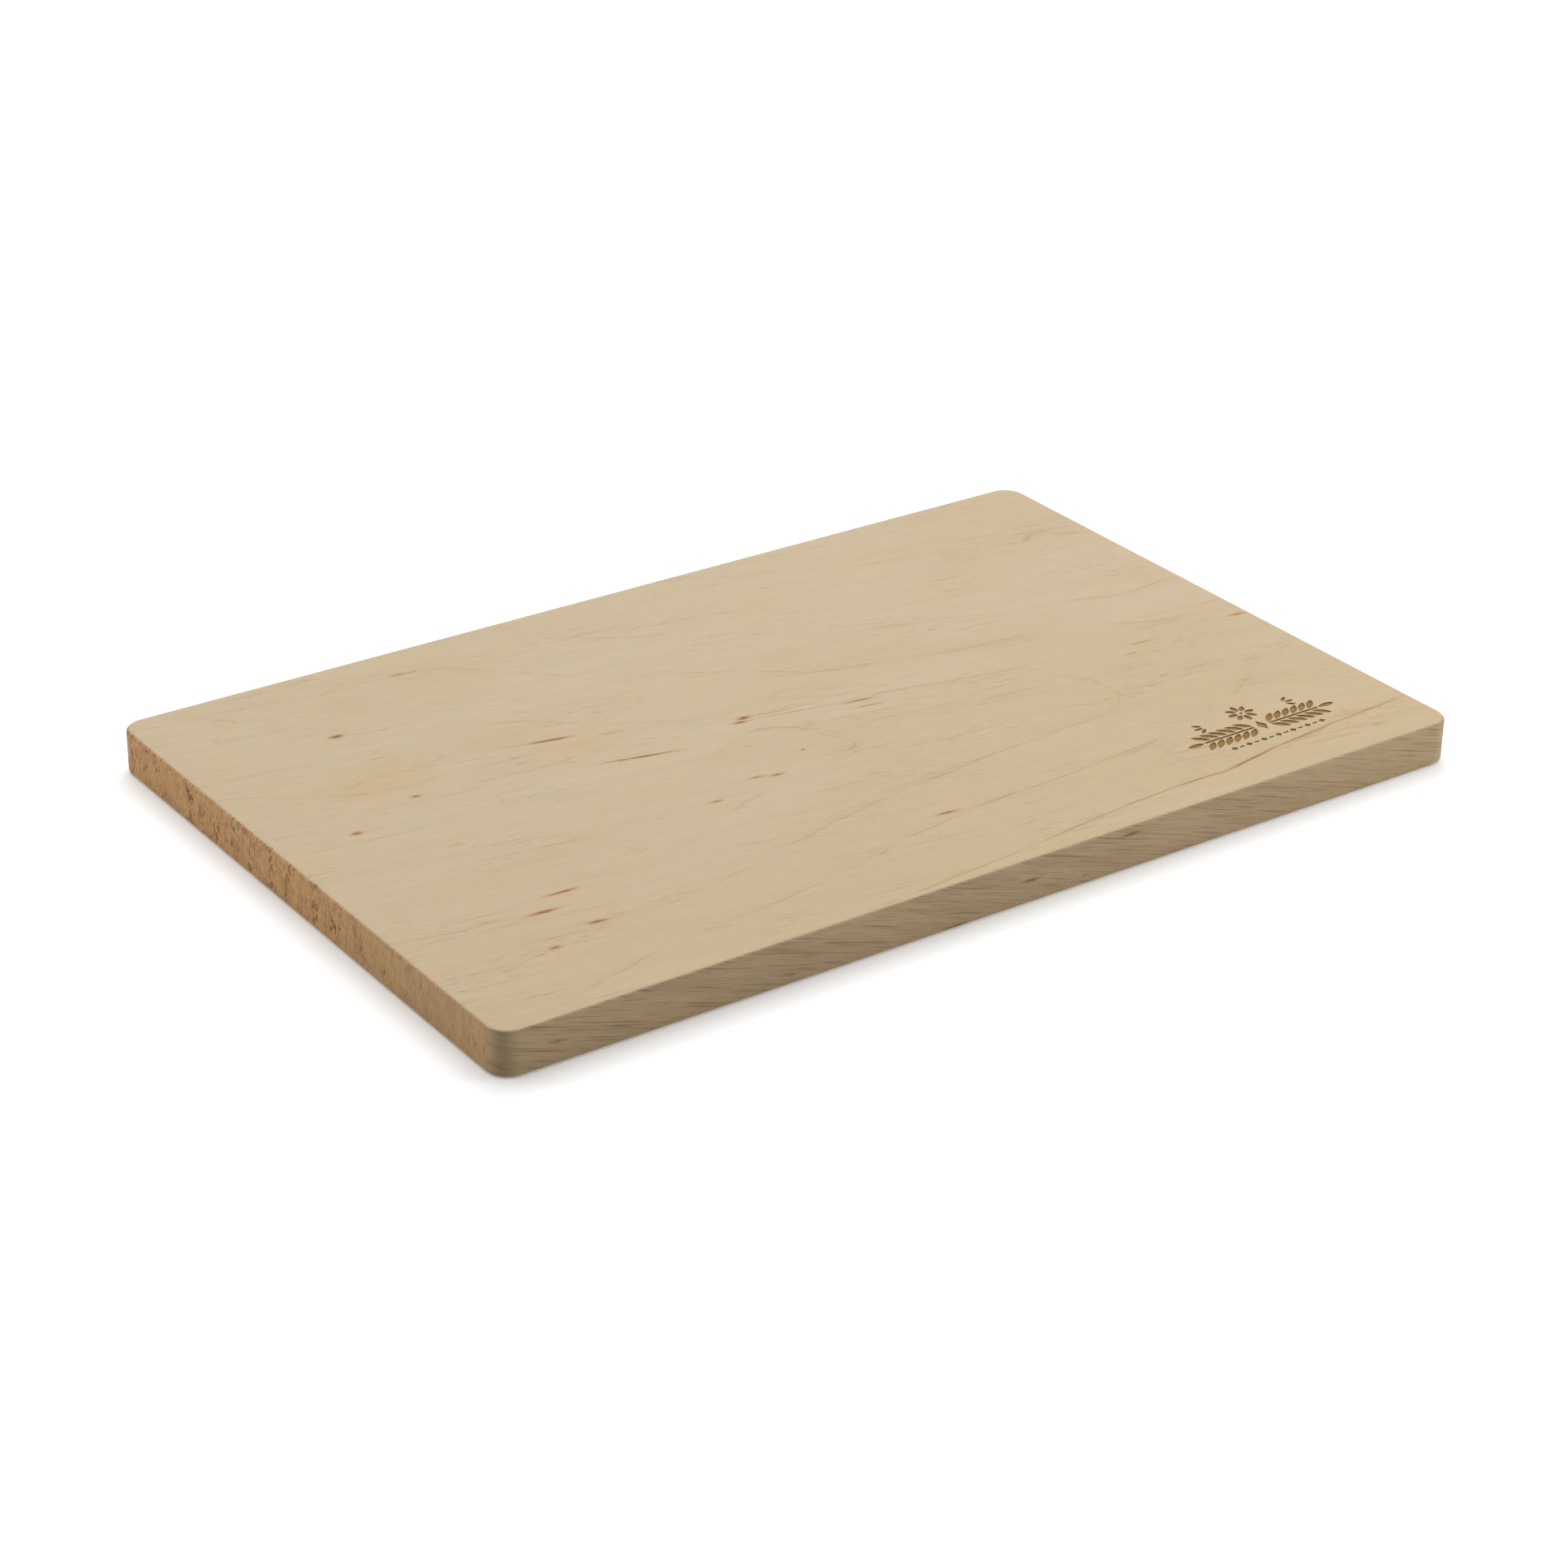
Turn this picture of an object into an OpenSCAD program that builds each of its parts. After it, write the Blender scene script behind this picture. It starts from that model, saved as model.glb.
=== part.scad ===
// Solid wooden board with rounded corners, eased edges and a scorched emblem.
// Origin at the centre of the underside, +X along the grain, +Z up. Millimetres.

/* [Board] */
// Length along the grain
board_length = 350; // [250:5:450]
// Width across the grain
board_width = 225; // [150:5:300]
// Thickness of the plank
board_thickness = 14.5; // [10:0.5:25]
// Radius of the four corners, seen from above
corner_radius = 7.5; // [5:0.5:25]
// Radius of the eased edges, top and bottom
edge_radius = 1.2; // [0.6:0.1:3]

/* [Emblem] */
// Distance from the right end to the middle of the emblem
emblem_from_end = 54; // [45:1:100]
// Distance from the front side to the middle of the emblem
emblem_from_front = 33; // [25:1:70]
// Length of the leaf garland, tip to tip
garland_length = 60; // [58:1:70]
// Depth that the beam burnt into the wood
recess_depth = 0.5; // [0.3:0.1:1]
// Thickness of the scorched skin left at the bottom of the recess
scorch_thickness = 0.15; // [0.1:0.05:0.2]

/* [Hidden] */
$fn = 96;

// Heights of the emblem's rows above and below its middle
garland_y = -3.2;
rosette_y = 6.6;
sprig_y = 5.2;
border_y = -11.1;

// Garland: two branches that leave a central lozenge
branch_start = 3.2;
stem_width = 0.9;
leaf_length = 6.4;
leaf_width = 2.2;
leaf_angle = 42;
leaf_pairs = 6;
branch_leaf_gap = 0.3;
leaf_step = (garland_length / 2 - branch_start - leaf_length) / leaf_pairs;
knot_size = [3.4, 6.2];

// Rosette: pointed petals round a small lozenge
petal = [3.8, 1.9];
petal_start = 1.4;
petal_count = 8;
rosette_middle = [1.4, 1.4];

// Sprigs: three small leaves on each side of the rosette
sprig_x = 15.6;
sprig_leaf = [3.6, 1.3];
sprig_spread = 38;

// Border: lozenges with short dashes between them
border_lozenges = 7;
border_pitch = 6;
lozenge_size = [2.6, 2.2];
dash_size = [1.9, 0.7];

wood_colour = [0.80, 0.72, 0.58];
scorch_colour = [0.45, 0.35, 0.20];

// ---------- plank ----------

// Radial section of a corner: a strip with its two outer corners rounded
module eased_section(reach) {
    translate([0, edge_radius]) square([reach, board_thickness - 2 * edge_radius]);
    square([reach - edge_radius, board_thickness]);
    for (z = [edge_radius, board_thickness - edge_radius])
        translate([reach - edge_radius, z]) circle(edge_radius);
}

module corner_block(turn) {
    rotate([0, 0, turn]) rotate_extrude(angle = 90) eased_section(corner_radius);
}

// Straight side that faces +X before it is turned, as deep as a corner
module side_block(turn, run) {
    rotate([0, 0, turn]) translate([0, run / 2, 0]) rotate([90, 0, 0])
        linear_extrude(run) eased_section(corner_radius);
}

module plank() {
    core_length = board_length - 2 * corner_radius;
    core_width = board_width - 2 * corner_radius;
    translate([-core_length / 2, -core_width / 2, 0]) cube([core_length, core_width, board_thickness]);
    for (side = [0, 180]) {
        rotate([0, 0, side]) {
            translate([core_length / 2, 0, 0]) side_block(0, core_width);
            translate([0, core_width / 2, 0]) side_block(90, core_length);
            translate([core_length / 2, core_width / 2, 0]) corner_block(0);
            translate([-core_length / 2, core_width / 2, 0]) corner_block(90);
        }
    }
}

// ---------- flat shapes of the emblem ----------

// Pointed leaf from the origin along +X, bounded by two equal arcs
module leaf(length, width) {
    arc_radius = (length * length + width * width) / (4 * width);
    translate([length / 2, 0]) intersection() {
        translate([0, arc_radius - width / 2]) circle(arc_radius);
        translate([0, width / 2 - arc_radius]) circle(arc_radius);
    }
}

module lozenge(size) {
    polygon([[-size.x / 2, 0], [0, -size.y / 2], [size.x / 2, 0], [0, size.y / 2]]);
}

// One branch of the garland, growing along +X
module branch() {
    tip = branch_start + leaf_pairs * leaf_step;
    translate([branch_start, -stem_width / 2]) square([tip - branch_start - branch_leaf_gap, stem_width]);
    translate([tip, 0]) leaf(leaf_length, leaf_width);
    for (i = [0 : leaf_pairs - 1], side = [-1, 1])
        translate([branch_start + i * leaf_step, side * (stem_width / 2 + branch_leaf_gap)])
            rotate(side * leaf_angle) leaf(leaf_length, leaf_width);
}

module garland_outline() {
    translate([0, garland_y]) {
        lozenge(knot_size);
        branch();
        mirror([1, 0]) branch();
    }
}

module rosette_outline() {
    translate([0, rosette_y]) {
        lozenge(rosette_middle);
        for (i = [0 : petal_count - 1])
            rotate(i * 360 / petal_count) translate([petal_start, 0]) leaf(petal.x, petal.y);
    }
}

module sprig() {
    for (spread = [-sprig_spread, 0, sprig_spread])
        rotate(spread) translate([sprig_leaf.y, 0]) leaf(sprig_leaf.x, sprig_leaf.y);
}

module sprigs_outline() {
    for (side = [0, 1])
        mirror([side, 0]) translate([sprig_x, sprig_y]) sprig();
}

module border_outline() {
    half = (border_lozenges - 1) / 2;
    for (i = [-half : half]) translate([i * border_pitch, border_y]) lozenge(lozenge_size);
    for (i = [-half : half - 1])
        translate([(i + 0.5) * border_pitch, border_y]) square(dash_size, center = true);
}

// ---------- placing the emblem ----------

module at_emblem(height) {
    translate([board_length / 2 - emblem_from_end, emblem_from_front - board_width / 2, height]) children();
}

module recess() {
    at_emblem(board_thickness - recess_depth) linear_extrude(2 * recess_depth) children();
}

module scorched_skin() {
    color(scorch_colour)
        at_emblem(board_thickness - recess_depth) linear_extrude(scorch_thickness) children();
}

// ---------- nodes ----------

module board() {
    color(wood_colour) difference() {
        plank();
        recess() garland_outline();
        recess() rosette_outline();
        recess() sprigs_outline();
        recess() border_outline();
    }
}

module scorched_garland() { scorched_skin() garland_outline(); }
module scorched_rosette() { scorched_skin() rosette_outline(); }
module scorched_sprigs() { scorched_skin() sprigs_outline(); }
module scorched_border() { scorched_skin() border_outline(); }

board();
scorched_garland();
scorched_rosette();
scorched_sprigs();
scorched_border();
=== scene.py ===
"""Looks of a solid alder board with rounded corners, torn end grain and a scorched leaf emblem.

Lengths are millimetres in the board's own frame (x along the grain, y across it, z up) until a
mesh is made, where they become metres. The camera and the lamps are placed in metres.
"""

import random
from math import cos, exp, hypot, radians, sin

import bpy
import numpy as np
from mathutils import Matrix, Vector, geometry, noise


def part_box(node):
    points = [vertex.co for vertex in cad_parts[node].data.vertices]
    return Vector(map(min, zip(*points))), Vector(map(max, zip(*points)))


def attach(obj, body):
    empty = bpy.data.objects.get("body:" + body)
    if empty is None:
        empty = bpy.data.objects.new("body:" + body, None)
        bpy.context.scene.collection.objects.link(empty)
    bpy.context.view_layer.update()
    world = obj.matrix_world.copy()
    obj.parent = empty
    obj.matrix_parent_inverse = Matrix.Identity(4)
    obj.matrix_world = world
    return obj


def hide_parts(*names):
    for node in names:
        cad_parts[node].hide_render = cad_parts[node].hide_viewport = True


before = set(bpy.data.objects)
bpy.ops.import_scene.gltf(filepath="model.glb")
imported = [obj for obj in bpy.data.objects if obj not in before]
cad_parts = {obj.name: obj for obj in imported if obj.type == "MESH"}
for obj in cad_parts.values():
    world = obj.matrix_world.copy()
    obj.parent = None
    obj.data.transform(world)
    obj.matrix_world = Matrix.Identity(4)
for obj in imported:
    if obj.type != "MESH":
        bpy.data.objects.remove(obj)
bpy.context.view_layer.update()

MM = 0.001
BOARD_LOW, BOARD_HIGH = (Vector(corner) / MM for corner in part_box("board"))
LENGTH, WIDTH, THICKNESS = BOARD_HIGH - BOARD_LOW

# Radii of the CAD board, which its box doesn't tell
CORNER_RADIUS = 7.5
EDGE_RADIUS = 1.2

# The emblem's CAD nodes, which lie on the floor of the board's recesses
EMBLEM_NODES = ["scorched_garland", "scorched_rosette", "scorched_sprigs", "scorched_border"]
RECESS_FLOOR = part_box(EMBLEM_NODES[0])[0][2] / MM
RECESS_DEPTH = THICKNESS - RECESS_FLOOR

# ---------------------------------------------------------------- camera and light

AIM = Vector((-10.1, -10.7, 0)) * MM
CAMERA_DISTANCE = 1168.4 * MM
CAMERA_AZIMUTH = 35.7
CAMERA_ELEVATION = 27.1
CAMERA_ROLL = 1.05
LENS = 86.8


def turn(angle, axis):
    """Rotation by an angle in degrees."""
    return Matrix.Rotation(radians(angle), 4, axis)


def make_camera():
    data = bpy.data.cameras.new("camera")
    data.lens = LENS
    data.sensor_width = 36
    data.clip_start = 0.05
    data.clip_end = 50
    camera = bpy.data.objects.new("camera", data)
    bpy.context.scene.collection.objects.link(camera)
    facing = turn(-CAMERA_AZIMUTH, "Z") @ turn(90 - CAMERA_ELEVATION, "X") @ turn(CAMERA_ROLL, "Z")
    back = facing.to_3x3() @ Vector((0, 0, 1))
    camera.matrix_world = Matrix.Translation(AIM + back * CAMERA_DISTANCE) @ facing
    bpy.context.scene.camera = camera


def make_lamp(name, kind, place, strength, **settings):
    """A lamp that shines from place towards the board's middle and never shows itself."""
    data = bpy.data.lights.new(name, kind)
    data.energy = strength
    for key, value in settings.items():
        setattr(data, key, value)
    lamp = bpy.data.objects.new(name, data)
    bpy.context.scene.collection.objects.link(lamp)
    lamp.location = place
    lamp.rotation_mode = "QUATERNION"
    lamp.rotation_quaternion = (-Vector(place)).to_track_quat("-Z", "Y")
    lamp.visible_camera = False


def make_lights():
    """Places and sizes in metres, strengths in watts (per square metre for the sun)."""
    make_lamp("ceiling", "SUN", (0.25, 0.55, 2.4), 2.42, angle=radians(70))
    make_lamp("rear", "AREA", (0.42, 0.62, 0.85), 3.8, shape="RECTANGLE", size=0.9, size_y=0.6)
    make_lamp("right_front", "AREA", (0.75, -0.6, 0.3), 4.2, shape="RECTANGLE", size=0.4, size_y=0.4)
    make_lamp("left_rear", "AREA", (-1.0, 0.9, 0.35), 4.5, shape="RECTANGLE", size=0.6, size_y=0.5)


# The backdrop's strength as a source of light, and as the camera sees it
AMBIENT_LIGHT = 0.1
BACKDROP_WHITE = 1.0


def make_world():
    """A white backdrop that adds only a little light of its own."""
    world = bpy.data.worlds.new("studio")
    world.use_nodes = True
    tree = world.node_tree
    background = tree.nodes["Background"]
    background.inputs["Color"].default_value = (1, 1, 1, 1)
    seen = tree.nodes.new("ShaderNodeLightPath").outputs["Is Camera Ray"]
    strength = tree.nodes.new("ShaderNodeMapRange")
    strength.inputs["To Min"].default_value = AMBIENT_LIGHT
    strength.inputs["To Max"].default_value = BACKDROP_WHITE
    tree.links.new(seen, strength.inputs["Value"])
    tree.links.new(strength.outputs[0], background.inputs["Strength"])
    bpy.context.scene.world = world
    bpy.context.scene.view_settings.view_transform = "Standard"


# ---------------------------------------------------------------- meshes

SHARP_ANGLE = 50


def new_object(name, points, faces, material):
    """A smooth-shaded object from points in millimetres."""
    mesh = bpy.data.meshes.new(name)
    mesh.from_pydata([Vector(p) * MM for p in points], [], faces)
    mesh.validate()
    mesh.materials.append(material)
    for polygon in mesh.polygons:
        polygon.use_smooth = True
    mesh.set_sharp_from_angle(angle=radians(SHARP_ANGLE))
    piece = bpy.data.objects.new(name, mesh)
    bpy.context.scene.collection.objects.link(piece)
    return piece


def set_field(piece, name, values):
    """Stores one number per vertex, which a material reads by name."""
    field = piece.data.attributes.new(name, "FLOAT", "POINT")
    field.data.foreach_set("value", np.asarray(values, dtype=np.float32))


# Spacing of the side wall's columns and rows
LEFT_END_STEP = 0.45
RIGHT_END_STEP = 1.0
LONG_SIDE_STEP = 2.2
CORNER_STEPS = 22
EDGE_STEPS = 5
SIDE_ROWS = 26

# How far the side's mesh runs in over the top and bottom faces, past the eased edges
LANDING = 0.5


def straight(start, end, normal, step):
    """Columns from start up to, but not including, end."""
    count = round((end - start).length / step)
    return [(start.lerp(end, i / count), normal) for i in range(count)]


def quarter(centre, first_angle):
    """Columns round a corner, from first_angle up to, but not including, 90 degrees on."""
    columns = []
    for i in range(CORNER_STEPS):
        angle = radians(first_angle + 90 * i / CORNER_STEPS)
        normal = Vector((cos(angle), sin(angle)))
        columns.append((centre + normal * CORNER_RADIUS, normal))
    return columns


def outline_columns():
    """Points and outward normals round the board's widest outline, counter-clockwise."""
    x, y = LENGTH / 2, WIDTH / 2
    r = CORNER_RADIUS
    columns = straight(Vector((-x + r, -y)), Vector((x - r, -y)), Vector((0, -1)), LONG_SIDE_STEP)
    columns += quarter(Vector((x - r, -y + r)), -90)
    columns += straight(Vector((x, -y + r)), Vector((x, y - r)), Vector((1, 0)), RIGHT_END_STEP)
    columns += quarter(Vector((x - r, y - r)), 0)
    columns += straight(Vector((x - r, y)), Vector((-x + r, y)), Vector((0, 1)), LONG_SIDE_STEP)
    columns += quarter(Vector((-x + r, y - r)), 90)
    columns += straight(Vector((-x, y - r)), Vector((-x, -y + r)), Vector((-1, 0)), LEFT_END_STEP)
    columns += quarter(Vector((-x + r, -y + r)), 180)
    return columns


def edge_profile():
    """(inset, height) pairs from the underside up over the side to the top face."""
    arc = [radians(90 * i / EDGE_STEPS) for i in range(EDGE_STEPS + 1)]
    lower = [(EDGE_RADIUS * (1 - sin(angle)), EDGE_RADIUS * (1 - cos(angle))) for angle in arc]
    flat = THICKNESS - 2 * EDGE_RADIUS
    middle = [(0.0, EDGE_RADIUS + flat * i / SIDE_ROWS) for i in range(1, SIDE_ROWS)]
    upper = [(inset, THICKNESS - height) for inset, height in reversed(lower)]
    landing = EDGE_RADIUS + LANDING
    return [(landing, 0.0), *lower, *middle, *upper, (landing, THICKNESS)]


# ---------------------------------------------------------------- torn end grain

# Clusters of pits in the left end: distance from the rear corner, spread, count
TORN_SPOTS = [
    (6, 5, 6),
    (19, 3, 5),
    (26, 4, 8),
    (48, 4, 18),
    (56, 3, 8),
    (64, 4, 9),
    (76, 2, 8),
    (82, 3, 6),
    (98, 3, 10),
    (107, 2, 9),
    (124, 2, 8),
    (136, 4, 8),
    (152, 12, 6),
]
SCATTERED_PITS = 120
TORN_SEED = 11

# Ranges that each pit's measures are drawn from
PIT_Z = (0.3, THICKNESS)
PIT_HALF_WIDTH = (0.2, 0.48)
PIT_HALF_HEIGHT = (0.5, 2.3)
PIT_DEPTH = (0.5, 1.0)
PIT_LEAN = (-0.4, 0.15)

# The rough rear part of the left end gives way to the smooth front part round this y
TORN_END_Y = -35
TORN_FADE = 10

# No pit goes deeper than this, counted from the board's outline, so none folds over a flat face
TORN_LIMIT = EDGE_RADIUS + 0.8 * LANDING
RIGHT_END_TORN = 0.3


def torn_share(y):
    """How roughly the left end is sawn at y: 1 in the rear part, 0 towards the front."""
    return 1 / (1 + exp((TORN_END_Y - y) / TORN_FADE))


def torn_pits():
    """Each pit is (y, z, half width, half height, depth, lean)."""
    dice = random.Random(TORN_SEED)
    places = [
        (WIDTH / 2 - from_rear + dice.gauss(0, spread / 2), dice.uniform(0.7, 1.0))
        for from_rear, spread, count in TORN_SPOTS
        for _ in range(count)
    ]
    for _ in range(SCATTERED_PITS):
        y = dice.uniform(-WIDTH / 2, WIDTH / 2)
        places.append((y, 0.15 + 0.35 * torn_share(y)))
    return [
        (
            y,
            dice.uniform(*PIT_Z),
            dice.uniform(*PIT_HALF_WIDTH),
            dice.uniform(*PIT_HALF_HEIGHT),
            dice.uniform(*PIT_DEPTH) * share,
            dice.uniform(*PIT_LEAN),
        )
        for y, share in places
    ]


def torn_depth(y, z, pits):
    """How far the left end is torn in at a point, and how much of that is open pit (0 to 1)."""
    torn = torn_share(y)
    coarse = noise.noise(Vector((y * 1.3, z * 0.35, 3.0))) * 0.5 + 0.5
    fine = noise.noise(Vector((y * 2.6, z * 1.2, 8.0))) * 0.5 + 0.5
    depth = 0.02 + torn * (0.12 * coarse + 0.12 * fine)
    shift_y = 0.5 * noise.noise(Vector((y * 0.9, z * 0.8, 17.0)))
    shift_z = 1.0 * noise.noise(Vector((y * 1.1, z * 0.8, 29.0)))
    open_pit = 0.0
    for pit_y, pit_z, half_width, half_height, pit_depth, lean in pits:
        across = (y + shift_y - pit_y - lean * (z - pit_z)) / half_width
        if abs(across) > 2:
            continue
        reach = across**2 + ((z + shift_z - pit_z) / half_height) ** 2
        if reach < 4:
            hole = exp(-1.6 * reach * reach)
            depth = max(depth, pit_depth * hole)
            # open_pit also sets how much painted shade the wood material lays in the pit
            open_pit = max(open_pit, hole * min(1.0, pit_depth / 0.5))
    return depth, open_pit


# ---------------------------------------------------------------- growth rings

# Ring lines on the top face, from the innermost out: (ring number, points along it)
RING_LINES = [
    (0.0, [(-112, 5), (-97, 3), (-94, -5), (-96, -20), (-104, -34)]),
    (1.0, [(-175, 53), (-157, 41), (-120, 27), (-70, 12), (-13, 1), (1, -6), (7, -23)]),
    (1.0, [(-3, -30), (-60, -44)]),
    (2.0, [(-84, 53), (-54, 34), (-25, 18), (37, 1), (78, -7), (93, -22)]),
    (2.0, [(93, -46), (52, -52), (-18, -60)]),
    (3.0, [(-60, 84), (-18, 54), (11, 36), (26, 26), (70, 15), (119, 7), (172, -3)]),
    (3.0, [(-108, -96), (-52, -90), (-10, -81), (26, -77), (93, -72), (150, -48)]),
    (4.0, [(-20, 86), (33, 56), (74, 38), (108, 28), (149, 18), (174, 20)]),
    (4.0, [(-46, -111), (11, -106), (70, -100), (92, -101), (140, -94), (173, -91)]),
    (5.0, [(60, 96), (110, 82), (157, 72), (174, 68)]),
]


def bend_kernel(squared):
    """Thin-plate kernel r^2 log r of a squared distance."""
    return 0.5 * squared * np.log(np.maximum(squared, 1e-9))


def ring_surface():
    """Thin-plate surface through the ring lines: function of x and y arrays that gives ring number."""
    knots = np.array([p for _, line in RING_LINES for p in line], dtype=float) / LENGTH
    rings = np.array([ring for ring, line in RING_LINES for _ in line])
    count = len(knots)
    squared = ((knots[:, None] - knots[None]) ** 2).sum(axis=2)
    plane = np.hstack([np.ones((count, 1)), knots])
    system = np.zeros((count + 3, count + 3))
    system[:count, :count] = bend_kernel(squared)
    system[:count, count:] = plane
    system[count:, :count] = plane.T
    weights = np.linalg.solve(system, np.concatenate([rings, np.zeros(3)]))

    def ring_at(x, y):
        points = np.stack([x, y], axis=1) / LENGTH
        distance = ((points[:, None] - knots[None]) ** 2).sum(axis=2)
        bent = bend_kernel(distance) @ weights[:count]
        return bent + weights[count] + points @ weights[count + 1 :]

    return ring_at


# Distance over which the rings' slope is measured, and the most that one ring may span
RING_PROBE = 0.5
WIDEST_RING = 200


def add_ring_fields(piece, points):
    """Stores each vertex's ring number and the width of a ring there."""
    ring_at = ring_surface()
    x, y, _ = np.array(points, dtype=float).T
    here = ring_at(x, y)
    slope_x = (ring_at(x + RING_PROBE, y) - here) / RING_PROBE
    slope_y = (ring_at(x, y + RING_PROBE) - here) / RING_PROBE
    set_field(piece, "ring", here)
    set_field(piece, "ring_width", 1 / np.maximum(np.hypot(slope_x, slope_y), 1 / WIDEST_RING))


# ---------------------------------------------------------------- flecks

# Dark flecks on the top face: (x, y), length, width, tilt in degrees, strength
TOP_FLECKS = [
    ((-85, 96), 8, 1.6, -4, 0.8),
    ((-80.5, 95.3), 6, 1.4, -4, 0.8),
    ((21, 105), 6, 1.0, -4, 0.4),
    ((-123, 68), 6, 2.8, -4, 1.0),
    ((-117, 66), 14, 1.6, -8, 0.35),
    ((-3, 84), 7, 1.0, -4, 0.4),
    ((-119, 48), 8, 1.4, -6, 0.45),
    ((-70, 30), 20, 1.8, -11, 1.0),
    ((-80, 32), 11, 1.2, -10, 0.5),
    ((-51, 24), 10, 1.4, -9, 0.6),
    ((-123, 20), 5, 2.2, -6, 0.9),
    ((-118, 19.5), 12, 1.2, -8, 0.35),
    ((-149, 9), 5, 2.6, -6, 0.9),
    ((-143, 8), 12, 1.2, -6, 0.4),
    ((-145, 3), 26, 1.0, -7, 0.45),
    ((-52, 5), 32, 1.4, -12, 1.0),
    ((-63, 7.5), 5, 1.8, -10, 0.6),
    ((-11, 10), 7, 2.4, -8, 1.0),
    ((-14, 8), 7, 2.0, -8, 1.0),
    ((-2, 8.5), 20, 1.6, -9, 0.55),
    ((26, 0.5), 16, 1.3, -8, 0.9),
    ((27, -4), 14, 1.2, -10, 0.8),
    ((-21, -7), 7, 1.4, -8, 0.5),
    ((-9, -18), 1.5, 1.5, 0, 1.0),
    ((-31, -25.5), 7, 1.6, -8, 0.85),
    ((-25, -27.5), 7, 1.6, -8, 0.9),
    ((-50, -32), 6, 1.6, -8, 0.85),
    ((-70, -32), 5, 1.2, -8, 0.4),
    ((-129, -13), 9, 2.6, -8, 0.45),
    ((-118, -54), 13, 1.8, -3, 1.0),
    ((-129, -61), 14, 2.0, -3, 1.0),
    ((-141, -62), 20, 1.2, -4, 0.4),
    ((-119, -74), 8, 2.0, -4, 0.95),
    ((-111, -74.5), 12, 1.2, -4, 0.4),
    ((-137, -80), 5, 2.6, -5, 0.9),
    ((3, -75.6), 10, 1.7, -4, 1.0),
    ((129, -15), 11, 1.2, -5, 0.85),
    ((121, -20), 7, 1.1, -5, 0.65),
    ((170, -15.4), 9, 1.6, -5, 0.95),
    ((152, -102), 6, 1.5, -5, 0.65),
    ((94, -110), 7, 1.4, 0, 0.6),
    ((-163, 67.5), 26, 1.0, -9, 0.35),
    ((133, 79), 22, 1.2, -9, 0.35),
]

# Stretches of growth rings that stand out on the top face, same columns
RING_ACCENTS = [
    ((-17, -108.5), 58, 0.8, 5, 0.5),
    ((28, -104), 40, 0.8, 7, 0.55),
    ((58, -101), 32, 0.8, 4, 0.65),
    ((80, -100.3), 28, 0.9, 0, 0.8),
    ((103, -98.6), 30, 1.2, 9.5, 1.0),
    ((127, -95.3), 34, 0.9, 6, 0.85),
    ((158, -92.7), 38, 0.8, 4.5, 0.7),
    ((18, -77), 30, 0.7, 0, 0.45),
    ((45, -76), 34, 0.7, 3, 0.5),
    ((76, -73.5), 36, 0.7, 5, 0.45),
    ((-9, -0.3), 12, 0.7, -15, 0.4),
    ((-1, -5), 10, 0.7, -48, 0.4),
    ((4, -14), 16, 0.7, -62, 0.4),
    ((5.8, -25), 9, 0.7, -112, 0.4),
    ((1, -29), 9, 0.7, 16, 0.35),
    ((83, -41), 22, 0.7, -26, 0.35),
    ((79, -50.3), 26, 0.7, 5, 0.35),
    ((44, -52), 50, 0.7, 2, 0.35),
    ((158, 75), 34, 0.8, -10, 0.55),
    ((166, 67.5), 20, 0.8, -20, 0.5),
    ((40, 0), 44, 0.8, -10, 0.5),
    ((5, 5), 42, 0.9, -10, 0.55),
    ((-35, 23), 36, 0.7, -26, 0.35),
    ((-60, 41), 30, 0.7, -28, 0.3),
    ((30, 24), 50, 0.7, -18, 0.4),
    ((80, 12), 60, 0.7, -10, 0.4),
    ((60, 46), 50, 0.7, -17, 0.35),
    ((92, 33), 26, 0.7, -22, 0.35),
    ((-157, 41), 22, 0.7, -34, 0.3),
    ((-95, 1), 8, 0.7, -60, 0.35),
]

# Dark flecks on the front side: (x, z), length, width, tilt in degrees, strength
FRONT_FLECKS = [
    ((-156, 7.2), 7, 1.2, -8, 0.8),
    ((-80, 3.4), 6, 1.0, -10, 0.9),
    ((-21, 0.6), 9, 1.2, 0, 1.0),
    ((6, 7.6), 8, 1.1, -3, 1.0),
    ((26, 3.2), 5, 0.9, -5, 0.7),
    ((43, 11.8), 8, 1.2, -3, 1.0),
]

# Soft yellowish patches on the top face: (x, y), length, width, tilt in degrees, strength
TOP_PATCHES = [
    ((-128, 34), 28, 22, -7, 1.0),
    ((-80, 39), 28, 13, -7, 0.8),
    ((-63, 22), 20, 10, -7, 0.7),
]

# A spot fades to nothing at this share of its length and width from its middle
SPOT_REACH = 0.85

# Mesh points laid over a spot: spacing along it, and rows across it as shares of its reach
SPOT_COLUMN = 1.3
SPOT_ROWS = (-1, -0.5, 0, 0.5, 1)

# Noise that makes the spots' outlines ragged: its reach and the size of its cells
RAGGED_REACH = Vector((1.2, 0.2, 0))
RAGGED_CELL = (5, 1.5, 1.5)


def spots(x, y, shapes):
    """Strongest of a list of soft ellipses at each of many points."""
    strongest = np.zeros(len(x))
    for (middle_x, middle_y), length, width, tilt, strength in shapes:
        lean = radians(tilt)
        off_x, off_y = x - middle_x, y - middle_y
        along = (off_x * cos(lean) + off_y * sin(lean)) / (SPOT_REACH * length)
        aside = (off_y * cos(lean) - off_x * sin(lean)) / (SPOT_REACH * width)
        share = np.clip(1 - np.hypot(along, aside), 0, 1)
        strongest = np.maximum(strongest, strength * share * share * (3 - 2 * share))
    return strongest


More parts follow.
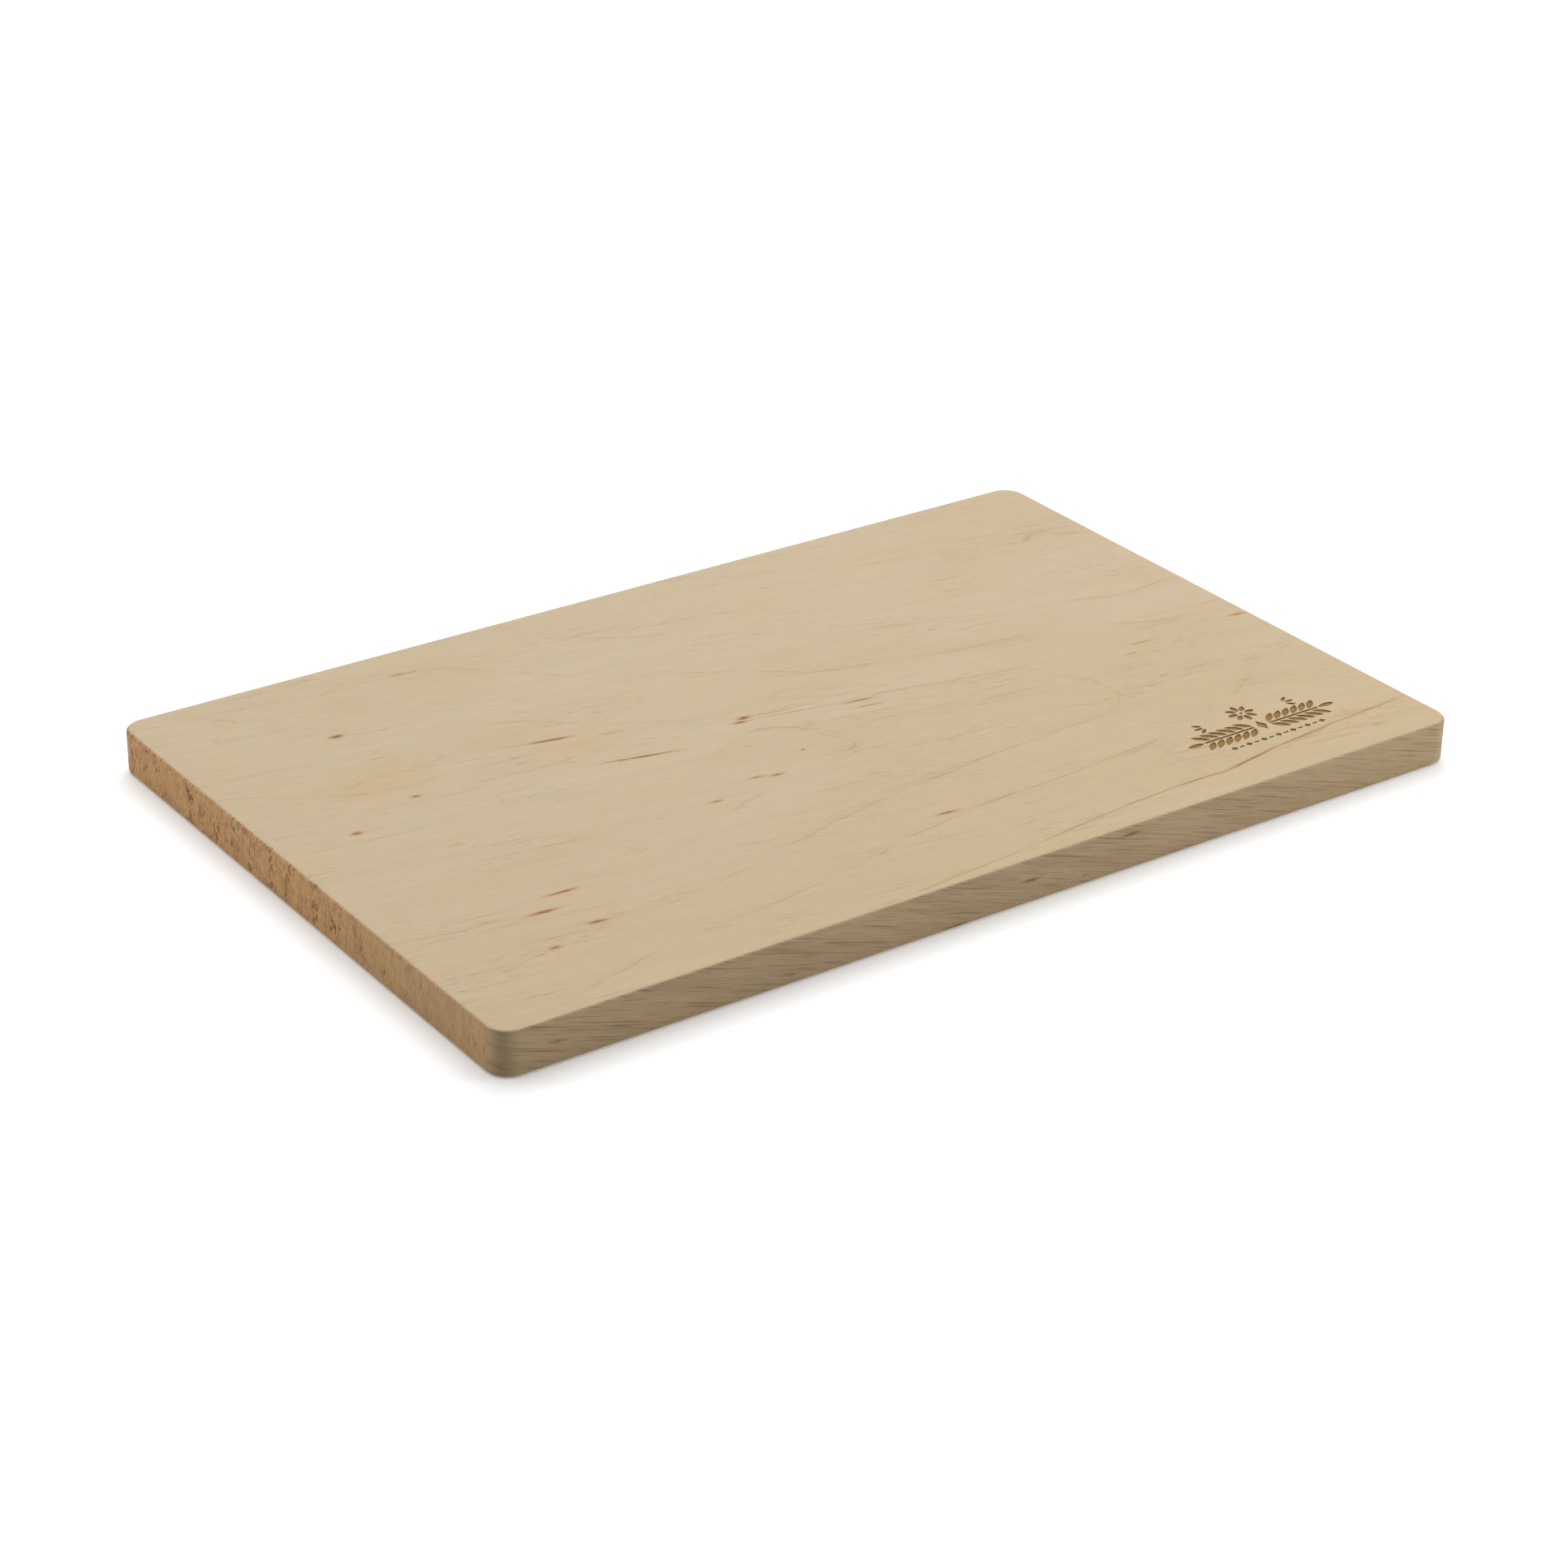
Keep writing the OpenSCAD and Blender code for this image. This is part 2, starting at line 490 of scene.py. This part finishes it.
def spot_points(shapes):
    """Points over each ellipse, close enough together to carry it."""
    points = []
    for (middle_x, middle_y), length, width, tilt, _ in shapes:
        lean = radians(tilt)
        half_length = SPOT_REACH * length
        columns = max(4, round(2 * half_length / SPOT_COLUMN))
        for i in range(columns + 1):
            along = half_length * (2 * i / columns - 1)
            for row in SPOT_ROWS:
                aside = row * SPOT_REACH * width
                x = middle_x + along * cos(lean) - aside * sin(lean)
                y = middle_y + along * sin(lean) + aside * cos(lean)
                points.append((x, y))
    return points


def ragged(point):
    """The place where a point's marks are read: the point, moved a little by noise."""
    cell = Vector([length / size for length, size in zip(point, RAGGED_CELL)])
    return tuple(Vector(point) + RAGGED_REACH * noise.noise_vector(cell))


def add_spot_fields(piece, points):
    """Stores how strongly each vertex is marked by flecks, ring accents and patches."""
    x, y, z = np.array([ragged(point) for point in points]).T
    on_top = np.array([p[2] > THICKNESS - EDGE_RADIUS for p in points])
    on_front = ~on_top & (y < CORNER_RADIUS - WIDTH / 2)
    flecks = on_top * spots(x, y, TOP_FLECKS) + on_front * spots(x, z, FRONT_FLECKS)
    set_field(piece, "fleck", flecks)
    set_field(piece, "accent", on_top * spots(x, y, RING_ACCENTS))
    set_field(piece, "patch", on_top * spots(x, y, TOP_PATCHES))


# ---------------------------------------------------------------- board mesh

TOP_STEP = 2.5
BOTTOM_STEP = 5.0

# Inner points keep this far from the rim and from the recesses
GRID_MARGIN = 0.9

# Points closer than this are taken as one when a face is filled
CDT_PRECISION = 1e-5


def node_loops(node):
    """Outlines of a flat CAD node's top faces, each a list of (x, y) points, counter-clockwise."""
    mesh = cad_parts[node].data

    def key(index):
        point = mesh.vertices[index].co / MM
        return round(point.x, 3), round(point.y, 3)

    following = {}
    edges = set()
    for polygon in mesh.polygons:
        if polygon.normal.z > 0.9:
            corners = [key(v) for v in polygon.vertices]
            edges.update(zip(corners, corners[1:] + corners[:1]))
    for start, end in edges:
        if (end, start) not in edges and start != end:
            following[start] = end
    loops = []
    while following:
        start, point = following.popitem()
        loop = [start]
        while point != start:
            loop.append(point)
            point = following.pop(point)
        loops.append(loop)
    return loops


def distance_to_loop(x, y, loop):
    """Distance from a point to a closed outline."""
    nearest = 1e9
    for (ax, ay), (bx, by) in zip(loop, loop[1:] + loop[:1]):
        span_x, span_y = bx - ax, by - ay
        share = ((x - ax) * span_x + (y - ay) * span_y) / (span_x**2 + span_y**2)
        share = min(1, max(0, share))
        nearest = min(nearest, hypot(x - ax - share * span_x, y - ay - share * span_y))
    return nearest


def inside_loop(x, y, loop):
    """Whether a point lies inside a closed outline."""
    crossings = 0
    for (ax, ay), (bx, by) in zip(loop, loop[1:] + loop[:1]):
        if (ay > y) != (by > y) and x < ax + (y - ay) * (bx - ax) / (by - ay):
            crossings += 1
    return crossings % 2 == 1


def near_box(x, y, box, margin):
    """Whether a point lies within a margin of a box."""
    low_x, low_y, high_x, high_y = box
    return low_x - margin < x < high_x + margin and low_y - margin < y < high_y + margin


def loop_box(loop):
    """Lowest and highest x and y of an outline."""
    xs, ys = zip(*loop)
    return min(xs), min(ys), max(xs), max(ys)


def grid_points(step):
    """Points all over the board's box, seen from above."""
    return [
        (-LENGTH / 2 + (i + 0.5) * step, -WIDTH / 2 + (j + 0.5) * step)
        for i in range(int(LENGTH / step) + 1)
        for j in range(int(WIDTH / step) + 1)
    ]


def inside_rim(x, y):
    """Whether a point is clear of the board's rim, seen from above."""
    rim = EDGE_RADIUS + LANDING + GRID_MARGIN
    over_x = abs(x) - (LENGTH / 2 - CORNER_RADIUS)
    over_y = abs(y) - (WIDTH / 2 - CORNER_RADIUS)
    if over_x > 0 and over_y > 0:
        return hypot(over_x, over_y) < CORNER_RADIUS - rim
    return max(over_x, over_y) < CORNER_RADIUS - rim


def fill_outline(outline, loops, inner):
    """Triangles between outline, loops and inner points: (points, triangles, loop number or None)."""
    points = [Vector(p) for p in outline]
    faces = [list(range(len(outline)))]
    for loop in loops:
        faces.append(list(range(len(points), len(points) + len(loop))))
        points += [Vector(p) for p in loop]
    boxes = [loop_box(loop) for loop in loops]
    for x, y in inner:
        close = [
            loop
            for loop, box in zip(loops, boxes)
            if near_box(x, y, box, GRID_MARGIN) and distance_to_loop(x, y, loop) < GRID_MARGIN
        ]
        if inside_rim(x, y) and not close:
            points.append(Vector((x, y)))
    filled, _, triangles, _, _, sources = geometry.delaunay_2d_cdt(points, [], faces, 1, CDT_PRECISION)
    owners = []
    for source in sources:
        holders = [face - 1 for face in source if face > 0]
        owners.append(holders[0] if holders else None)
    return filled, triangles, owners


class Surface:
    """Points with their shading fields, and the faces between them."""

    FIELDS = ("flat", "end", "corner", "torn", "pit")

    def __init__(self):
        self.points = []
        self.faces = []
        self.fields = {name: [] for name in self.FIELDS}

    def add(self, point, **values):
        self.points.append(point)
        for name in self.FIELDS:
            self.fields[name].append(values.get(name, 0.0))
        return len(self.points) - 1


def smooth(value, low, high):
    """Smooth step from 0 at low to 1 at high."""
    share = min(1.0, max(0.0, (value - low) / (high - low)))
    return share * share * (3 - 2 * share)


# Faces turned less than this from the grain's direction show end grain (cosines: none, full)
END_GRAIN = (0.965, 0.999)

# Where on the eased edge the wall's wood gives way to the flat face's, as shares of its radius
EDGE_BLEND = (0.3, 0.65)


def add_side(surface):
    """Side wall with its eased edges: columns of points, joined all round."""
    columns = outline_columns()
    profile = edge_profile()
    pits = torn_pits()
    for place, normal in columns:
        end = smooth(abs(normal.x), *END_GRAIN)
        # corner: how strongly painted shade darkens the wood where the outline turns from a side to an
        # end
        corner = (2 * normal.x * normal.y) ** 4
        for inset, height in profile:
            spot = place - normal * inset
            flat = smooth(inset / EDGE_RADIUS, *EDGE_BLEND)
            torn, pit = RIGHT_END_TORN, 0.0
            if normal.x < 0:
                torn = torn_share(spot.y)
                if inset <= EDGE_RADIUS:
                    depth, pit = torn_depth(spot.y, height, pits)
                    depth = min(depth, TORN_LIMIT - inset)
                    spot = spot - normal * depth * -normal.x
            point = (spot.x, spot.y, height)
            surface.add(point, flat=flat, end=end, corner=corner, torn=torn, pit=pit)
    rows = len(profile)
    for c in range(len(columns)):
        here, after = c * rows, (c + 1) % len(columns) * rows
        for r in range(rows - 1):
            surface.faces.append((here + r, after + r, after + r + 1, here + r + 1))
    return [c * rows for c in range(len(columns))], rows - 1


def add_cap(surface, rim, height, inner, recesses):
    """Flat face inside a rim of points, with recesses sunk along the given loops."""
    outline = [surface.points[i][:2] for i in rim]
    filled, triangles, owners = fill_outline(outline, recesses, inner)
    ids = rim + [surface.add((x, y, height), flat=1.0) for x, y in filled[len(rim) :]]
    sunk = {}

    def lowered(index):
        if index not in sunk:
            x, y = filled[index]
            sunk[index] = surface.add((x, y, RECESS_FLOOR), flat=1.0)
        return sunk[index]

    for triangle, owner in zip(triangles, owners):
        corners = triangle if height > 0 else triangle[::-1]
        if owner is None:
            surface.faces.append([ids[i] for i in corners])
        else:
            surface.faces.append([lowered(i) for i in corners])
    start = len(rim)
    for loop in recesses:
        ring = list(range(start, start + len(loop)))
        start += len(loop)
        for a, b in zip(ring, ring[1:] + ring[:1]):
            surface.faces.append((ids[a], ids[b], lowered(b), lowered(a)))


def make_board(material):
    """The plank: side wall, top face with the emblem's recesses, and underside."""
    surface = Surface()
    bottom_rim, top_row = add_side(surface)
    emblem = [loop for node in EMBLEM_NODES for loop in node_loops(node)]
    top_points = grid_points(TOP_STEP) + spot_points(TOP_FLECKS + RING_ACCENTS)
    add_cap(surface, [i + top_row for i in bottom_rim], THICKNESS, top_points, emblem)
    add_cap(surface, bottom_rim, 0.0, grid_points(BOTTOM_STEP), [])
    board = new_object("board_plank", surface.points, surface.faces, material)
    for name, values in surface.fields.items():
        set_field(board, name, values)
    add_ring_fields(board, surface.points)
    add_spot_fields(board, surface.points)
    return board


# ---------------------------------------------------------------- scorched emblem

BURN_STEP = 0.28
BURN_CLEARANCE = 0.6 * BURN_STEP

# Section of a groove: width of its sloping edge, depth of its lip, skin left at its bottom
BURN_EDGE = 0.25
BURN_RIM = 0.06
BURN_SKIN = 0.1
BURN_RIPPLE = 0.03
BURN_GAP = 0.01


def burn_height(inside):
    """Height of the scorched skin at a distance inside its outline: a shallow rounded groove."""
    share = min(1.0, inside / BURN_EDGE)
    fall = share * (2 - share)
    return THICKNESS - BURN_RIM - (RECESS_DEPTH - BURN_SKIN - BURN_RIM) * fall


def fill_loop(loop):
    """Points over a loop, its own first, and the triangles between them."""
    low_x, low_y, high_x, high_y = loop_box(loop)
    points = [Vector(p) for p in loop]
    for i in range(int((high_x - low_x) / BURN_STEP) + 1):
        for j in range(int((high_y - low_y) / BURN_STEP) + 1):
            x = low_x + (i + 0.5) * BURN_STEP
            y = low_y + (j + 0.5) * BURN_STEP
            if inside_loop(x, y, loop) and distance_to_loop(x, y, loop) > BURN_CLEARANCE:
                points.append(Vector((x, y)))
    face = list(range(len(loop)))
    filled, _, triangles, _, _, _ = geometry.delaunay_2d_cdt(points, [], [face], 1, CDT_PRECISION)
    return filled, triangles


def make_burn(node, name, material):
    """One group of grooves: in each recess, a closed skin with a rippled, sloping top."""
    points = []
    faces = []
    inside_field = []
    for loop in node_loops(node):
        edge_count = len(loop)
        filled, triangles = fill_loop(loop)
        first = len(points)
        for index, spot in enumerate(filled):
            inside = 0.0 if index < edge_count else distance_to_loop(spot.x, spot.y, loop)
            ripple = 0.0 if index < edge_count else noise.noise(Vector((spot.x * 1.9, spot.y * 5, 1)))
            points.append((spot.x, spot.y, burn_height(inside) + BURN_RIPPLE * ripple))
            inside_field.append(min(1.0, inside / BURN_EDGE))
        under = len(points)
        for spot in filled[:edge_count]:
            points.append((spot.x, spot.y, RECESS_FLOOR + BURN_GAP))
            inside_field.append(0.0)
        faces += [[first + i for i in triangle] for triangle in triangles]
        faces.append([under + i for i in reversed(range(edge_count))])
        for a in range(edge_count):
            b = (a + 1) % edge_count
            faces.append((first + b, first + a, under + a, under + b))
    burn = new_object(name, points, faces, material)
    set_field(burn, "inside", inside_field)
    return burn


# ---------------------------------------------------------------- material building


class Graph:
    """A shader tree built by plain calls, each of which returns the socket it made."""

    def __init__(self, name):
        self.material = bpy.data.materials.new(name)
        self.material.use_nodes = True
        self.tree = self.material.node_tree
        self.shader = self.tree.nodes["Principled BSDF"]

    def node(self, kind, inputs=(), **settings):
        made = self.tree.nodes.new(kind)
        for key, value in settings.items():
            setattr(made, key, value)
        for key, value in dict(inputs).items():
            self.feed(made.inputs[key], value)
        return made

    def feed(self, socket, value):
        """Links a socket to another one, or sets it to a constant."""
        if isinstance(value, bpy.types.NodeSocket):
            self.tree.links.new(value, socket)
        else:
            socket.default_value = value

    def result(self, key, value):
        self.feed(self.shader.inputs[key], value)

    def math(self, operation, *values):
        return self.node("ShaderNodeMath", enumerate(values), operation=operation).outputs[0]

    def cells(self, vector, offset, tilt, size):
        """Coordinates that count cells of the given size, tilted by angles in degrees."""
        inputs = {
            "Vector": vector,
            "Location": offset,
            "Rotation": [radians(angle) for angle in tilt],
            "Scale": size,
        }
        return self.node("ShaderNodeMapping", inputs, vector_type="TEXTURE").outputs[0]

    def millimetres(self):
        """The surface point's place on the board."""
        place = self.node("ShaderNodeTexCoord").outputs["Object"]
        return self.cells(place, (0, 0, 0), (0, 0, 0), (MM, MM, MM))

    def noise(self, vector, scale=1.0, detail=2.0, roughness=0.5):
        inputs = {"Vector": vector, "Scale": scale, "Detail": detail, "Roughness": roughness}
        return self.node("ShaderNodeTexNoise", inputs).outputs[0]

    def fade(self, value, low, high, to_low=0.0, to_high=1.0):
        """Smooth step from to_low at low to to_high at high."""
        inputs = {
            "Value": value,
            "From Min": low,
            "From Max": high,
            "To Min": to_low,
            "To Max": to_high,
        }
        return self.node("ShaderNodeMapRange", inputs, interpolation_type="SMOOTHSTEP").outputs[0]

    def mix(self, share, first, second, blend="MIX"):
        """Colour between first and second."""
        inputs = {0: share, 6: first, 7: second}
        return self.node("ShaderNodeMix", inputs, data_type="RGBA", blend_type=blend).outputs[2]

    def field(self, name):
        """A number that the mesh stores per vertex."""
        return self.node("ShaderNodeAttribute", attribute_name=name).outputs["Fac"]

    def bump(self, height, distance, strength):
        inputs = {"Height": height, "Distance": distance, "Strength": strength}
        self.result("Normal", self.node("ShaderNodeBump", inputs).outputs[0])


def srgb(red, green, blue):
    """Linear colour of an 8-bit screen colour."""
    channels = [c / 255 for c in (red, green, blue)]
    linear = [c / 12.92 if c <= 0.04045 else ((c + 0.055) / 1.055) ** 2.4 for c in channels]
    return (*linear, 1)


# ---------------------------------------------------------------- wood

# Tilt of the fibres on each face, in degrees round x, y and z
TOP_FIBRES = (0, 0, -7)
SIDE_FIBRES = (0, 17, 0)
END_FIBRES = (0, 0, 0)

# Colours as they look in full light, except that the side colours also hold painted shade on top of
# the edge grain's own tone, and the corner colour is painted shade
TOP_COLOUR = srgb(186, 167, 137)
TOP_WARM = srgb(183, 162, 126)
PATCH_COLOUR = srgb(184, 157, 112)
BAND_COLOUR = srgb(172, 144, 114)
PORE_COLOUR = srgb(150, 114, 76)
RING_COLOUR = srgb(152, 109, 62)
FLECK_HALO = srgb(168, 127, 84)
FLECK_CORE = srgb(112, 70, 32)
# Side colours: the edge grain's own tone, darkened further by painted shade of the sides
SIDE_WOOD_AND_SHADE = srgb(161, 138, 102)
SIDE_LINE_AND_SHADE = srgb(115, 88, 57)
SIDE_FLECK_AND_SHADE = srgb(92, 70, 46)
# Painted shade for the rounded corners
CORNER_PAINTED_SHADE = srgb(110, 86, 50)
END_COLOUR = srgb(184, 136, 76)
END_SMOOTH = srgb(172, 135, 82)
END_DARK_AND_PIT_SHADE = srgb(122, 78, 38)
END_TUFT = srgb(220, 188, 136)

# Bump heights in units of RELIEF_UNIT
RELIEF_UNIT = 0.2
RELIEF_STRENGTH = 0.6
PORE_HEIGHT = -0.5
LINE_HEIGHT = -0.15
SANDING_HEIGHT = 0.15
TORN_HEIGHT = 3.0


def grain(g, mm, offset, fibres, cell, detail=2.0, roughness=0.5):
    """Noise in cells of the given size in millimetres, which run with the fibres."""
    return g.noise(g.cells(mm, offset, fibres, cell), detail=detail, roughness=roughness)


def streaks(g, mm, fibres, cell, low, high, seed):
    """Thin marks along the fibres, where a stretched noise rises from low to high."""
    return g.fade(grain(g, mm, (0, 0, seed), fibres, cell, detail=1.0), low, high)


def top_ground(g, mm):
    """The pale ground of the top: warmer to the front, with blotches, patches and soft bands."""
    blotches = g.fade(grain(g, mm, (0, 0, 3), TOP_FIBRES, (90, 30, 50)), 0.35, 0.7, 0.0, 0.5)
    y = g.node("ShaderNodeSeparateXYZ", {0: mm}).outputs["Y"]
    warm = g.math("ADD", blotches, g.fade(y, -110.0, 60.0, 0.6, 0.0))
    colour = g.mix(warm, TOP_COLOUR, TOP_WARM)
    colour = g.mix(g.math("MULTIPLY", g.field("patch"), 0.6), colour, PATCH_COLOUR)
    bands = grain(g, mm, (0, 0, 61), TOP_FIBRES, (70, 4.5, 50), detail=3.0)
    return g.mix(g.fade(bands, 0.4, 0.65, 0.0, 0.14), colour, BAND_COLOUR)


def with_rings(g, mm, colour):
    """Growth rings: a thin line at each whole number, with a soft band on its inner side."""
    wobble = grain(g, mm, (0, 0, 9), TOP_FIBRES, (14, 7, 50), detail=4.0)
    ring = g.math("ADD", g.field("ring"), g.math("MULTIPLY", g.math("SUBTRACT", wobble, 0.5), 0.12))
    phase = g.math("SUBTRACT", g.math("FRACT", g.math("ADD", ring, 0.5)), 0.5)
    offset = g.math("MULTIPLY", phase, g.field("ring_width"))
    line = g.fade(g.math("ABSOLUTE", offset), 0.1, 0.6, 0.35, 0.0)
    inner = g.math("MULTIPLY", g.fade(offset, -5.0, 0.0), g.fade(offset, 0.0, 0.8, 0.1, 0.0))
    seen = g.fade(grain(g, mm, (0, 0, 21), TOP_FIBRES, (40, 12, 50)), 0.42, 0.65, 0.1)
    marks = g.math("MULTIPLY", g.math("MAXIMUM", line, inner), g.fade(ring, 0.4, 0.8, 0.2, 1.0))
    colour = g.mix(g.math("MULTIPLY", marks, seen), colour, RING_COLOUR)
    accents = g.field("accent")
    colour = g.mix(g.fade(accents, 0.0, 0.8, 0.0, 0.9), colour, RING_COLOUR)
    return g.mix(g.fade(accents, 0.6, 1.0, 0.0, 0.8), colour, FLECK_CORE)


def top_pores(g, mm):
    """Pores: short and long dashes that gather in clusters."""
    cluster = g.fade(grain(g, mm, (0, 0, 5), TOP_FIBRES, (45, 13, 50)), 0.45, 0.66, 0.12)
    short = streaks(g, mm, TOP_FIBRES, (7, 0.7, 9), 0.62, 0.72, 31)
    long = streaks(g, mm, TOP_FIBRES, (30, 0.8, 9), 0.62, 0.72, 47)
    return g.math("MULTIPLY", g.math("MAXIMUM", short, long), cluster)


def side_lines(g, mm):
    """Grain lines of the long sides: bold and fine ones, over broad ones that fade downwards."""
    broad = streaks(g, mm, SIDE_FIBRES, (50, 40, 3.5), 0.4, 0.7, 13)
    bold = streaks(g, mm, SIDE_FIBRES, (28, 40, 0.55), 0.6, 0.72, 17)
    fine = streaks(g, mm, SIDE_FIBRES, (12, 40, 0.35), 0.5, 0.72, 19)
    lines = g.math("MAXIMUM", g.math("MULTIPLY", bold, 0.65), g.math("MULTIPLY", fine, 0.48))
    height = g.node("ShaderNodeSeparateXYZ", {0: mm}).outputs["Z"]
    return g.math("ADD", lines, g.math("MULTIPLY", broad, g.fade(height, 1.0, 6.0, 0.0, 0.22)))


def end_colour(g, mm):
    """Colour of the end grain, with painted shade inside the torn pits, and its relief: tufts stand
    proud, dark fibres and cracks are sunk.
    """
    torn = g.field("torn")
    fibres = grain(g, mm, (0, 0, 0), END_FIBRES, (9, 0.8, 2.6), detail=4.0, roughness=0.6)
    bands = grain(g, mm, (0, 0, 0), END_FIBRES, (9, 8, 9))
    tufts = grain(g, mm, (40, 0, 0), END_FIBRES, (9, 0.8, 1.2))
    cracks = grain(g, mm, (70, 0, 0), END_FIBRES, (9, 0.9, 6), detail=3.0)
    colour = g.mix(torn, END_SMOOTH, END_COLOUR)
    dark = g.math("MULTIPLY", g.fade(fibres, 0.45, 0.75), g.math("MULTIPLY_ADD", torn, 0.2, 0.5))
    dark = g.math("MAXIMUM", dark, g.math("MULTIPLY", g.fade(cracks, 0.64, 0.72, 0.0, 0.8), torn))
    colour = g.mix(g.math("ADD", dark, g.fade(bands, 0.5, 0.7, 0.0, 0.18)), colour, END_DARK_AND_PIT_SHADE)
    light = g.math("MULTIPLY", g.fade(tufts, 0.58, 0.69), g.math("MULTIPLY_ADD", torn, 0.45, 0.2))
    colour = g.mix(light, colour, END_TUFT)
    # painted shade inside the torn pits
    colour = g.mix(g.fade(g.field("pit"), 0.3, 0.9, 0.0, 0.8), colour, END_DARK_AND_PIT_SHADE)
    return colour, g.math("SUBTRACT", light, dark)


def with_flecks(g, colour):
    """Dark flecks with a soft halo, in darker copies on the sides, whose colours are partly painted
    shade.
    """
    flecks = g.field("fleck")
    halo = g.mix(g.field("flat"), SIDE_LINE_AND_SHADE, FLECK_HALO)
    core = g.mix(g.field("flat"), SIDE_FLECK_AND_SHADE, FLECK_CORE)
    colour = g.mix(g.fade(flecks, 0.05, 0.8, 0.0, 0.85), colour, halo)
    return g.mix(g.fade(flecks, 0.55, 1.0), colour, core)


def wood_relief(g, pores, lines, torn, sanding):
    """Bump height: pores on the flat faces, grain lines and torn fibres on the steep ones."""
    flat = g.field("flat")
    steep = g.math("SUBTRACT", 1.0, flat)
    torn_end = g.math("MULTIPLY", torn, g.math("MULTIPLY", g.field("end"), steep))
    height = g.math("MULTIPLY", sanding, SANDING_HEIGHT)
    height = g.math("MULTIPLY_ADD", g.math("MULTIPLY", pores, flat), PORE_HEIGHT, height)
    height = g.math("MULTIPLY_ADD", g.math("MULTIPLY", lines, steep), LINE_HEIGHT, height)
    return g.math("MULTIPLY_ADD", torn_end, TORN_HEIGHT, height)


def wood_material():
    """Pale sanded top, grain lines on the long sides, reddish end grain, painted shade at the rounded
    corners.
    """
    g = Graph("alder")
    mm = g.millimetres()
    pores = top_pores(g, mm)
    lines = side_lines(g, mm)
    end, torn = end_colour(g, mm)
    top = g.mix(g.math("MULTIPLY", pores, 0.38), with_rings(g, mm, top_ground(g, mm)), PORE_COLOUR)
    # the sides' colours hold painted shade as well as the edge grain's own tone
    upright = g.mix(g.field("end"), g.mix(lines, SIDE_WOOD_AND_SHADE, SIDE_LINE_AND_SHADE), end)
    # painted shade at the rounded corners, where the outline turns between sides and ends
    upright = g.mix(g.math("MULTIPLY", g.field("corner"), 0.4), upright, CORNER_PAINTED_SHADE)
    colour = with_flecks(g, g.mix(g.field("flat"), upright, top))
    sanding = grain(g, mm, (0, 0, 0), TOP_FIBRES, (9, 0.9, 0.9), detail=4.0, roughness=0.8)
    shade = g.fade(sanding, 0.3, 0.7, 0.955, 1.045)
    grey = g.node("ShaderNodeCombineColor", {i: shade for i in range(3)}).outputs[0]
    g.result("Base Color", g.mix(1.0, colour, grey, "MULTIPLY"))
    g.result("Roughness", g.fade(sanding, 0.2, 0.8, 0.56, 0.68))
    g.bump(wood_relief(g, pores, lines, torn, sanding), RELIEF_UNIT * MM, RELIEF_STRENGTH)
    return g.material


# ---------------------------------------------------------------- scorched wood

# Painted shade for the grooves' outlines
BURN_OUTLINE_SHADE = srgb(86, 63, 25)
BURN_FLOOR = srgb(152, 114, 45)
BURN_STREAK = srgb(119, 87, 32)


def scorched_material():
    """Golden brown groove floor with grain streaks, and painted shade along its outline."""
    g = Graph("scorched_alder")
    fibres = grain(g, g.millimetres(), (0, 0, 0), TOP_FIBRES, (3.0, 0.3, 1))
    floor = g.mix(g.fade(fibres, 0.35, 0.65), BURN_STREAK, BURN_FLOOR)
    # painted shade along the groove's outline, on its sloping edge
    g.result("Base Color", g.mix(g.fade(g.field("inside"), 0.1, 0.85), BURN_OUTLINE_SHADE, floor))
    g.result("Roughness", 0.75)
    g.bump(fibres, 0.1 * MM, 0.5)
    return g.material


# ---------------------------------------------------------------- floor

FLOOR_SHADES = [(0.87, 0.87, 0.87, 1), (0.89, 0.89, 0.89, 1)]
FLOOR_GLOW = 0.15
FLOOR_HALF = 6000
FLOOR_Z = -0.2


def floor_material():
    """A pale floor that glows a little, as a light table does."""
    g = Graph("pale_floor")
    mottle = g.noise(g.node("ShaderNodeTexCoord").outputs["Object"], scale=6.0)
    g.result("Base Color", g.mix(mottle, *FLOOR_SHADES))
    g.result("Roughness", 0.9)
    g.result("Emission Color", (1, 1, 1, 1))
    g.result("Emission Strength", FLOOR_GLOW)
    return g.material


def make_floor():
    sides = ((-1, -1), (1, -1), (1, 1), (-1, 1))
    corners = [(x * FLOOR_HALF, y * FLOOR_HALF, FLOOR_Z) for x, y in sides]
    floor = new_object("floor", corners, [(0, 1, 2, 3)], floor_material())


# ---------------------------------------------------------------- the whole scene

make_camera()
make_world()
make_lights()
make_floor()

board = make_board(wood_material())
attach(board, "root")
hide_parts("board")

burnt = scorched_material()
for node in EMBLEM_NODES:
    burn = make_burn(node, node.replace("scorched_", "burnt_"), burnt)
    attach(burn, "root")
    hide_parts(node)
